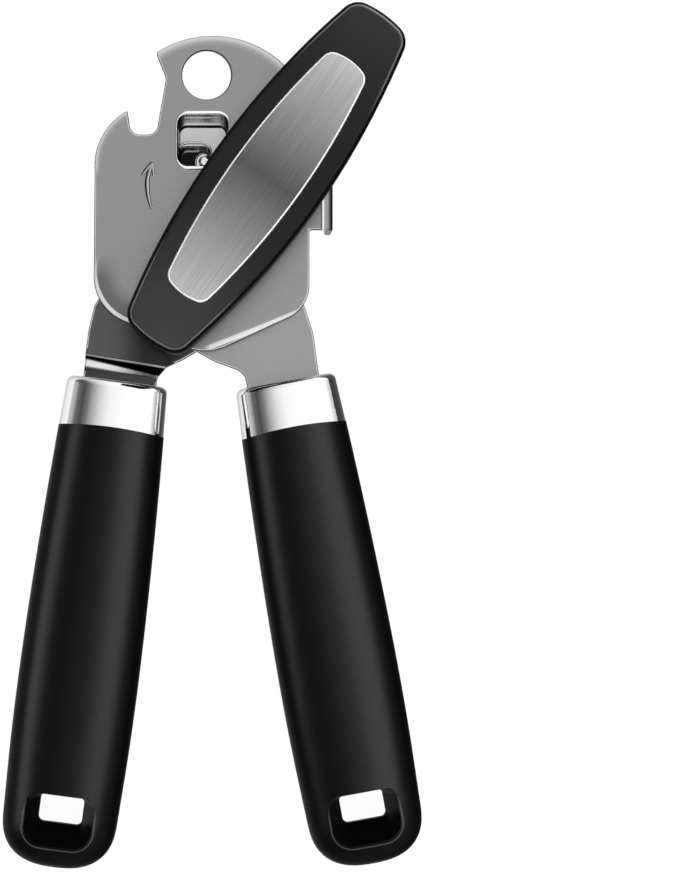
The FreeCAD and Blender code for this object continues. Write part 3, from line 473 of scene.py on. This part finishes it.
def from_centre(shader, centre):
    """Distance in metres from a centre, seen from above."""
    middle = design_point(*centre)
    return shader.length(shader.mapped((1, 1, 0), 0.0, (middle.x, middle.y, 0)))


def rim_band(shader, arc, width, here, stops):
    """Painted light and shade along the inside of an arc's edge, where here is 1."""
    centre, radius = arc
    depth = shader.math("SUBTRACT", radius * MM, from_centre(shader, centre))
    from_rim = shader.math("DIVIDE", depth, width * MM)
    inside = shader.math("GREATER_THAN", from_rim, -0.2)
    return shader.blend(shader.math("MULTIPLY", inside, here), 1.0, shader.ramp(from_rim, stops))


def head_painted_light(shader):
    """Painted highlights along the rounded edges of the dome, the lower hook and the foot, and painted shade
    in the lower corner inside a painted highlight along its edge.
    """
    dome = rim_band(shader, DOME, 2.5, soft_box(shader, -30.0, 20.0, 10.0, 45.0, 3.0),
                    [(0.0, 2.1), (0.3, 2.0), (0.6, 1.3), (1.0, 1.0)])
    hook = rim_band(shader, HOOK, 1.6, soft_box(shader, -50.0, -32.8, 3.0, 25.0, 2.0),
                    [(0.0, 2.3), (0.3, 1.9), (0.7, 1.2), (1.0, 1.0)])
    corner = rim_band(shader, CORNER, 7.0, soft_box(shader, -55.0, -28.0, -45.0, -17.0, 6.0),
                      [(0.0, 2.6), (0.13, 2.4), (0.17, 0.5), (0.45, 0.55), (1.0, 1.0)])
    foot = rim_band(shader, FOOT, 1.3, soft_box(shader, -15.5, 13.0, -45.0, -27.0, 2.0),
                    [(0.0, 2.8), (0.55, 2.6), (0.8, 1.2), (1.0, 1.0)])
    return shader.multiply(shader.multiply(dome, hook), shader.multiply(corner, foot))


def recess_painted_light(shader):
    """Painted light on the floor of the pressed window and painted shade on its pocket's floor, left of the
    knob's axis.
    """
    height = shader.math("SUBTRACT", shader.axis(shader.place, "Z"), PLATE_FRONT)
    share = shader.math("MULTIPLY_ADD", height, 1 / (SHADING_DEPTH * MM), 1.0)
    depth = shader.ramp(share, [(0.28, 0.03), (0.32, 1.85), (0.6, 1.85), (0.78, 1.0)])
    left = shader.math("LESS_THAN", shader.axis(shader.place, "X"), design_point(RECESS_END, 0).x)
    facing = shader.math("GREATER_THAN", shader.lean(), 0.5)
    return shader.blend(shader.math("MULTIPLY", left, facing), 1.0, depth)


def bend_painted_light(shader):
    """Painted lines of shade and highlight down the plate's right bend, and painted shade on the side of its
    flange.
    """
    start = BEND_START - 0.5
    across = shader.math("SUBTRACT", shader.axis(shader.place, "X"), design_point(start, 0).x)
    share = shader.math("DIVIDE", across, (FLANGE_SIDE - start) * MM)
    return shader.ramp(share, [(0.1, 1.0), (0.13, 0.25), (0.2, 0.4), (0.22, 2.8), (0.32, 2.8), (0.36, 1.0),
                               (0.75, 1.1), (0.84, 0.9), (0.88, 0.15)])


def punched_hole(shader):
    """1 round the hang hole, whose edge is cut and gets no painted highlight."""
    return shader.math("LESS_THAN", from_centre(shader, HANG_HOLE), HANG_HOLE_EDGE * MM)


def side_bend(shader):
    """1 from the bend on to the plate's right side."""
    return shader.math("GREATER_THAN", shader.axis(shader.place, "X"), design_point(BEND_START - 0.3, 0).x)


# The jog runs from its upper left corner at this slope; its foot is that far below its top.
JOG_START = (-44.35, -41.6)
JOG_SLOPE = math.radians(9.3)
JOG_WIDTH = 19.5
JOG_FOOT = 3.3
# Height of the painted shine at the jog's left end, and what it loses on the way to the right end.
SHINE_HEIGHT = 2.15
SHINE_LOSS = 1.5
TANG_LEFT = -46.0
TANG_WIDTH = 30.0


def jog_places(shader):
    """Distance below the top of the jog in mm, and the share of the way across it."""
    start = design_point(*JOG_START)
    on_jog = shader.mapped((1, 1, 1), JOG_SLOPE, (start.x, start.y, 0))
    down = shader.math("DIVIDE", shader.axis(on_jog, "Y"), -1 * MM)
    along = shader.clamp(shader.math("DIVIDE", shader.axis(on_jog, "X"), JOG_WIDTH * MM))
    return down, along


def tang_shade(shader):
    """Painted shade on the left tang, which lies deeper, darkest towards the knob, and painted highlights
    and shade along its jog.
    """
    across = shader.math("SUBTRACT", shader.axis(shader.place, "X"), design_point(TANG_LEFT, 0).x)
    share = shader.math("DIVIDE", across, TANG_WIDTH * MM)
    flat = shader.ramp(share, [(0.0, 0.36), (0.3, 0.31), (0.52, 0.1), (0.75, 0.1), (0.86, 0.34), (1.0, 0.3)])
    down, along = jog_places(shader)
    shine_height = shader.math("MULTIPLY_ADD", along, -SHINE_LOSS, SHINE_HEIGHT)
    above_foot = shader.math("SUBTRACT", JOG_FOOT, down)
    from_foot = shader.math("DIVIDE", above_foot, shader.math("MULTIPLY", shine_height, 2.0))
    shine = shader.ramp(from_foot, [(0.0, 0.5), (0.1, 3.0), (0.38, 3.0), (0.48, 0.05), (0.56, 0.006)])
    lip = shader.between(down, 0.05, 0.6, 0.12)
    jog = shader.blend(lip, shine, 1.5)
    foot = shader.blend(shader.math("GREATER_THAN", down, JOG_FOOT + 0.15), jog, 0.2)
    return shader.blend(shader.math("GREATER_THAN", down, 0.0), flat, foot)


def jog_face(shader):
    """1 on the sloping face of the left tang's jog."""
    down, _ = jog_places(shader)
    return shader.between(down, -1.3, 4.4, 0.1)


# Each handle's joint and tilt; then the slot's place down the handle, its sizes and those of its painted
# highlight line.
LEFT_HANDLE = (-38.5, -60.9, math.radians(-7.52))
RIGHT_HANDLE = (7.5, -60.8, math.radians(10.34))
SLOT_MIDDLE = 98.2
SLOT_HALF_WIDTH = 9.0
SLOT_HALF_HEIGHT = 6.9
SLOT_CORNER = 5.0
SLOT_LINE_HALF_WIDTH = 0.22
SLOT_LINE_SOFT = 0.12
SLOT_LINE_TOP = 4.5
SLOT_LINE_FADE = 3.0
SLOT_HIGHLIGHT_GREY = 0.022


def slot_painted_highlight(handle):
    """Thin painted highlight line round the mouth of a grip's hanging slot, fading at its top."""
    x, y, tilt = handle
    joint = design_point(x, y)

    def edge(shader, tone):
        in_handle = shader.mapped((1, 1, 1), -tilt, (joint.x, joint.y, 0))
        across = shader.math("ABSOLUTE", shader.axis(in_handle, "X"))
        down = shader.math("SUBTRACT", -SLOT_MIDDLE * MM, shader.axis(in_handle, "Y"))
        out_x = shader.math("SUBTRACT", across, (SLOT_HALF_WIDTH - SLOT_CORNER) * MM)
        apart = shader.math("ABSOLUTE", down)
        out_y = shader.math("SUBTRACT", apart, (SLOT_HALF_HEIGHT - SLOT_CORNER) * MM)
        corner = shader.node("ShaderNodeCombineXYZ")
        shader.put(corner.inputs["X"], shader.math("MAXIMUM", out_x, 0.0))
        shader.put(corner.inputs["Y"], shader.math("MAXIMUM", out_y, 0.0))
        from_line = shader.math("SUBTRACT", shader.length(corner.outputs[0]), SLOT_CORNER * MM)
        half = SLOT_LINE_HALF_WIDTH * MM
        line = shader.between(from_line, -half, half, SLOT_LINE_SOFT * MM)
        below_top = shader.math("ADD", down, SLOT_LINE_TOP * MM)
        low = shader.clamp(shader.math("DIVIDE", below_top, SLOT_LINE_FADE * MM))
        return shader.blend(shader.math("MULTIPLY", line, low), tone, SLOT_HIGHLIGHT_GREY)

    return edge


def paint(material, *names):
    for name in names:
        mesh = nodes[name].data
        mesh.materials.clear()
        mesh.materials.append(material)


# With 0.5 mm here, the front plate's mesh meets the eccentric bushing's as the lever swings.
SHEET_EDGE = 0.4
RING_EDGE = 0.2


def round_edges(name, width, segments=3, angle=40.0):
    """Joins the flat faces of a node's mesh and rounds its sharp edges, by modifiers alone."""
    item = nodes[name]
    weld = item.modifiers.new("weld", "WELD")
    weld.merge_threshold = 0.001 * MM
    flat = item.modifiers.new("flat_faces", "DECIMATE")
    flat.decimate_type = "DISSOLVE"
    flat.angle_limit = math.radians(0.6)
    bevel = item.modifiers.new("rolled_edges", "BEVEL")
    bevel.width = width * MM
    bevel.segments = segments
    bevel.use_clamp_overlap = False
    bevel.limit_method = "ANGLE"
    bevel.angle_limit = math.radians(angle)


# ---------------------------------------------------------------- added pieces
def finish_piece(name, mesh, body, material):
    """Makes a smooth piece of the mesh that rides on a body."""
    piece = new_object(name, mesh)
    mesh.materials.append(material)
    for polygon in mesh.polygons:
        polygon.use_smooth = True
    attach(piece, body)


def rounded_loop(sides, radius, level, steps=8):
    """Points round a rectangle with rounded corners, in the design's mm."""
    left, right, bottom, top = sides
    centres = [(right - radius, top - radius, 0), (left + radius, top - radius, 90),
               (left + radius, bottom + radius, 180), (right - radius, bottom + radius, 270)]
    points = []
    for x, y, start in centres:
        for step in range(steps + 1):
            angle = math.radians(start + 90 * step / steps)
            points.append(design_point(x + radius * math.cos(angle), y + radius * math.sin(angle), level))
    return points


def bridge_loops(name, loops):
    """Skin over closed loops of equal length, as a mesh."""
    count = len(loops[0])
    vertices = [tuple(place) for loop in loops for place in loop]
    faces = []
    for row in range(len(loops) - 1):
        for index in range(count):
            after = (index + 1) % count
            faces.append((row * count + index, row * count + after,
                          (row + 1) * count + after, (row + 1) * count + index))
    mesh = bpy.data.meshes.new(name)
    mesh.from_pydata(vertices, [], faces)
    return mesh


def add_pressed_rim(name, box, profile, material):
    """Drawn lip and wall of a pressed recess.

    A profile row is the inset of the sides, of the top and of the foot, the level and the corner
    radius, all in mm."""
    loops = []
    for side, top, foot, level, radius in profile:
        sides = (box["left"] + side, box["right"] - side, box["bottom"] + foot, box["top"] - top)
        loops.append(rounded_loop(sides, radius, level))
    finish_piece(name, bridge_loops(name, loops), "front", material)


WINDOW_RIM = [
    (-0.55, -0.8, -0.95, -0.01, 3.2), (-0.5, -0.7, -0.85, 0.1, 3.1), (-0.42, -0.45, -0.6, 0.17, 3.0),
    (-0.32, -0.15, -0.3, 0.15, 2.8), (-0.1, 0.05, -0.05, 0.0, 2.5), (0.05, 0.2, 0.08, -0.4, 2.3),
    (0.15, 0.7, 0.14, -1.0, 2.2), (0.22, 1.2, 0.18, -1.8, 2.1), (0.28, 1.8, 0.22, -2.6, 2.0),
    (0.34, 2.3, 0.26, -3.2, 1.9), (0.42, 2.7, 0.32, -3.5, 1.8), (0.55, 3.0, 0.42, -WINDOW_DEPTH, 1.7)]
POCKET_RIM = [
    (-0.1, -0.7, 0.1, -WINDOW_DEPTH, 2.6), (-0.02, -0.4, 0.15, -3.5, 2.5), (0.1, -0.05, 0.2, -3.48, 2.4),
    (0.2, 0.3, 0.25, -3.65, 2.3), (0.28, 0.7, 0.3, -4.1, 2.2), (0.34, 1.1, 0.34, -4.8, 2.1),
    (0.4, 1.4, 0.4, -5.4, 2.0), (0.6, 1.7, 0.5, -5.85, 1.8), (0.8, 1.9, 0.6, -POCKET_DEPTH, 1.6)]


def pressed_steel(name, deep, stops):
    """Drawn metal with painted bands of light and shade down the wall and painted shade on its left and
    right walls; stops run from its lip to its depth in mm.
    """
    lip = 0.2
    shader = Shader(name, (0.9, 0.9, 0.9), 1.0, 0.16)
    below_lip = shader.math("SUBTRACT", PLATE_FRONT + lip * MM, shader.axis(shader.place, "Z"))
    down = shader.ramp(shader.math("DIVIDE", below_lip, (deep + lip) * MM), stops)
    # Painted shade on wall faces that turn to the left or right.
    sideways = shader.math("ABSOLUTE", shader.axis(shader.normal, "X"))
    shader.link(shader.multiply(down, shader.ramp(sideways, [(0.45, 1.0), (0.8, 0.2)])), "Base Color")
    haze = shader.noise(shader.mapped((1, 1, 1)), 140.0, 3.0)
    shader.link(shader.ramp(haze, [(0.3, 0.13), (0.7, 0.2)]), "Roughness")
    return shader.material


def painted_flank_steel():
    """Stamped line with painted shade on its left flank and a painted highlight on its right."""
    shader = Shader("painted_flank_steel", (0.3, 0.3, 0.3), 1.0, 0.3)
    side = shader.math("MULTIPLY_ADD", shader.axis(shader.normal, "X"), 0.5, 0.5)
    tones = shader.ramp(side, [(0.12, 0.02), (0.38, 0.1), (0.46, 0.4), (0.56, 0.5), (0.8, 1.0)])
    shader.link(tones, "Base Color")
    fine = shader.noise(shader.mapped((1, 1, 1)), 1500.0, 4.0, 0.6)
    shader.link(shader.ramp(fine, [(0.25, 0.26), (0.75, 0.36)]), "Roughness")
    return shader.material


def smooth_line(points, parts):
    """Catmull-Rom line through the points, each span cut into that many parts."""
    ends = [points[0]] + list(points) + [points[-1]]
    line = []
    for index in range(1, len(ends) - 2):
        p0, p1, p2, p3 = ends[index - 1:index + 3]
        for part in range(parts):
            t = part / parts
            line.append(tuple(0.5 * (2 * b + (c - a) * t + (2 * a - 5 * b + 4 * c - d) * t * t
                                     + (3 * b - a - 3 * c + d) * t ** 3)
                              for a, b, c, d in zip(p0, p1, p2, p3)))
    return line + [points[-1]]


# The arrow's strokes: a point is its place in the design's mm and half the stroke's width there.
ARROW_STROKES = [
    [(-28.3, -5.4, 0.3), (-28.95, -3.0, 0.5), (-29.3, -0.5, 0.62), (-29.25, 2.0, 0.62), (-28.3, 5.6, 0.5)],
    [(-30.9, 2.5, 0.25), (-29.7, 4.1, 0.5), (-28.1, 6.0, 0.5)],
    [(-27.8, 2.7, 0.25), (-27.95, 4.4, 0.42), (-28.1, 6.0, 0.5)]]
ARROW_HEIGHT = 0.55
ARROW_SUNK = 0.02


def add_turn_arrow(material):
    """Raised curved arrow without lettering that shows which way the knob turns."""
    vertices = []
    faces = []
    turns = [math.radians(angle) for angle in range(0, 181, 30)]
    arch = [(math.cos(turn), math.sin(turn)) for turn in turns]
    for stroke in ARROW_STROKES:
        rows = smooth_line(stroke, 5)
        first = len(vertices)
        for index, (x, y, half) in enumerate(rows):
            before = rows[max(index - 1, 0)]
            after = rows[min(index + 1, len(rows) - 1)]
            run = Vector((after[0] - before[0], after[1] - before[1])).normalized()
            for across, up in arch:
                vertices.append(design_point(x + run.y * half * across, y - run.x * half * across,
                                             half * ARROW_HEIGHT * up - ARROW_SUNK))
        wide = len(arch)
        for row in range(len(rows) - 1):
            for index in range(wide - 1):
                corner = first + row * wide + index
                faces.append((corner, corner + 1, corner + wide + 1, corner + wide))
        faces.append(tuple(first + index for index in range(wide)))
        faces.append(tuple(first + (len(rows) - 1) * wide + index for index in reversed(range(wide))))
    mesh = bpy.data.meshes.new("turn_arrow")
    mesh.from_pydata(vertices, [], faces)
    finish_piece("turn_arrow", mesh, "front", material)


# ---------------------------------------------------------------- making
add_camera()
add_floor()
set_world()
bpy.context.scene.view_settings.view_transform = "Standard"

head_steel = plate_steel("head_steel", layers=(head_painted_light, recess_painted_light, bend_painted_light),
                         no_highlight=punched_hole, bent=side_bend)
tang_steel = plate_steel("tang_steel", layers=(tang_shade,), bent=jog_face)
rear_steel = plate_steel("rear_steel", grey=0.34)
# The stops paint bands of highlight and shade down the window's and the pocket's walls.
window_steel = pressed_steel("window_steel", WINDOW_DEPTH, [
    (0.0, 1.0), (0.08, 1.0), (0.11, 0.5), (0.28, 0.6), (0.34, 1.0), (0.42, 0.5), (0.52, 0.85), (0.78, 0.9),
    (0.84, 1.0), (0.9, 0.15)])
pocket_steel = pressed_steel("pocket_steel", POCKET_DEPTH, [
    (0.58, 1.0), (0.6, 0.2), (0.62, 1.0), (0.68, 0.7), (0.74, 0.2), (0.8, 0.45), (0.9, 0.5), (0.93, 1.0),
    (0.98, 0.4)])
bright_steel = turned_metal("bright_steel", 0.8, 0.14)
chrome = polished_metal("collar_chrome", 0.97, 0.06)
turned_steel = turned_metal("turned_steel", 0.5, 0.22)
hard_steel = turned_metal("hard_steel", 0.42, 0.18)
grip_look = {"grey": 0.0006, "roughness": 0.36, "specular": 0.05, "grain": 0.06}
left_black = black_plastic("left_grip_black", **grip_look, edge=slot_painted_highlight(LEFT_HANDLE))
right_black = black_plastic("right_grip_black", **grip_look, edge=slot_painted_highlight(RIGHT_HANDLE))
knob_black = black_plastic("knob_black", grey=0.006, roughness=0.5, specular=0.08, grain=0.06,
                           edge=knob_painted_rim)
core_grey = black_plastic("core_grey", grey=0.02, roughness=0.5, specular=0.5, grain=0.1)

paint(head_steel, "front_plate")
paint(tang_steel, "left_tang")
paint(rear_steel, "rear_plate")
paint(chrome, "left_ferrule", "right_ferrule")
paint(left_black, "left_grip")
paint(right_black, "right_grip")
paint(core_grey, "left_grip_core", "right_grip_core")
paint(knob_black, "knob_body")
paint(brushed_inlay(), "knob_inlay")
paint(turned_steel, "left_tang_pin", "right_tang_pin", "eccentric_bushing", "spacer_washer",
      "retaining_washer", "spring_washer", "feed_washer", "cutter_spacer", "cutter_washer", "drive_shaft",
      "knob_insert", "knob_screw")
paint(bright_steel, "cutter_stud")
paint(hard_steel, "feed_wheel", "cutter_wheel")
for plate in ("front_plate", "left_tang", "rear_plate"):
    round_edges(plate, SHEET_EDGE)
for ring in ("eccentric_bushing", "spacer_washer"):
    round_edges(ring, RING_EDGE)

add_pressed_rim("window_rim", WINDOW, WINDOW_RIM, window_steel)
add_pressed_rim("pocket_rim", POCKET, POCKET_RIM, pocket_steel)
add_turn_arrow(painted_flank_steel())

grips = [nodes["left_grip"], nodes["right_grip"]]
add_strip_light("right_strip", lean=29.5, spread=42.0, strength=6.8, receivers=grips)
add_strip_light("left_strip", lean=-54.0, spread=26.0, strength=3.4, receivers=grips)
inlay = [nodes["knob_inlay"]]
add_strip_light("inlay_right", lean=62.0, spread=10.0, strength=2.4, receivers=inlay)
add_strip_light("inlay_left", lean=-62.0, spread=10.0, strength=2.4, receivers=inlay)

# One panel above each end of the knob; heights are measured from the plates' front face.
knob_pieces = [nodes["knob_body"]]
knob_level = (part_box("knob_body")[1].z - PLATE_FRONT) / MM
panel_level = knob_level + 50.0
add_panel_light("knob_low_end", place=design_point(-27.0, -38.0, panel_level),
                aim=design_point(-23.0, -32.0, knob_level), size=0.03, strength=0.05, receivers=knob_pieces)
add_panel_light("knob_high_end", place=design_point(58.0, 82.0, panel_level),
                aim=design_point(23.0, 32.0, knob_level), size=0.04, strength=0.17, receivers=knob_pieces)
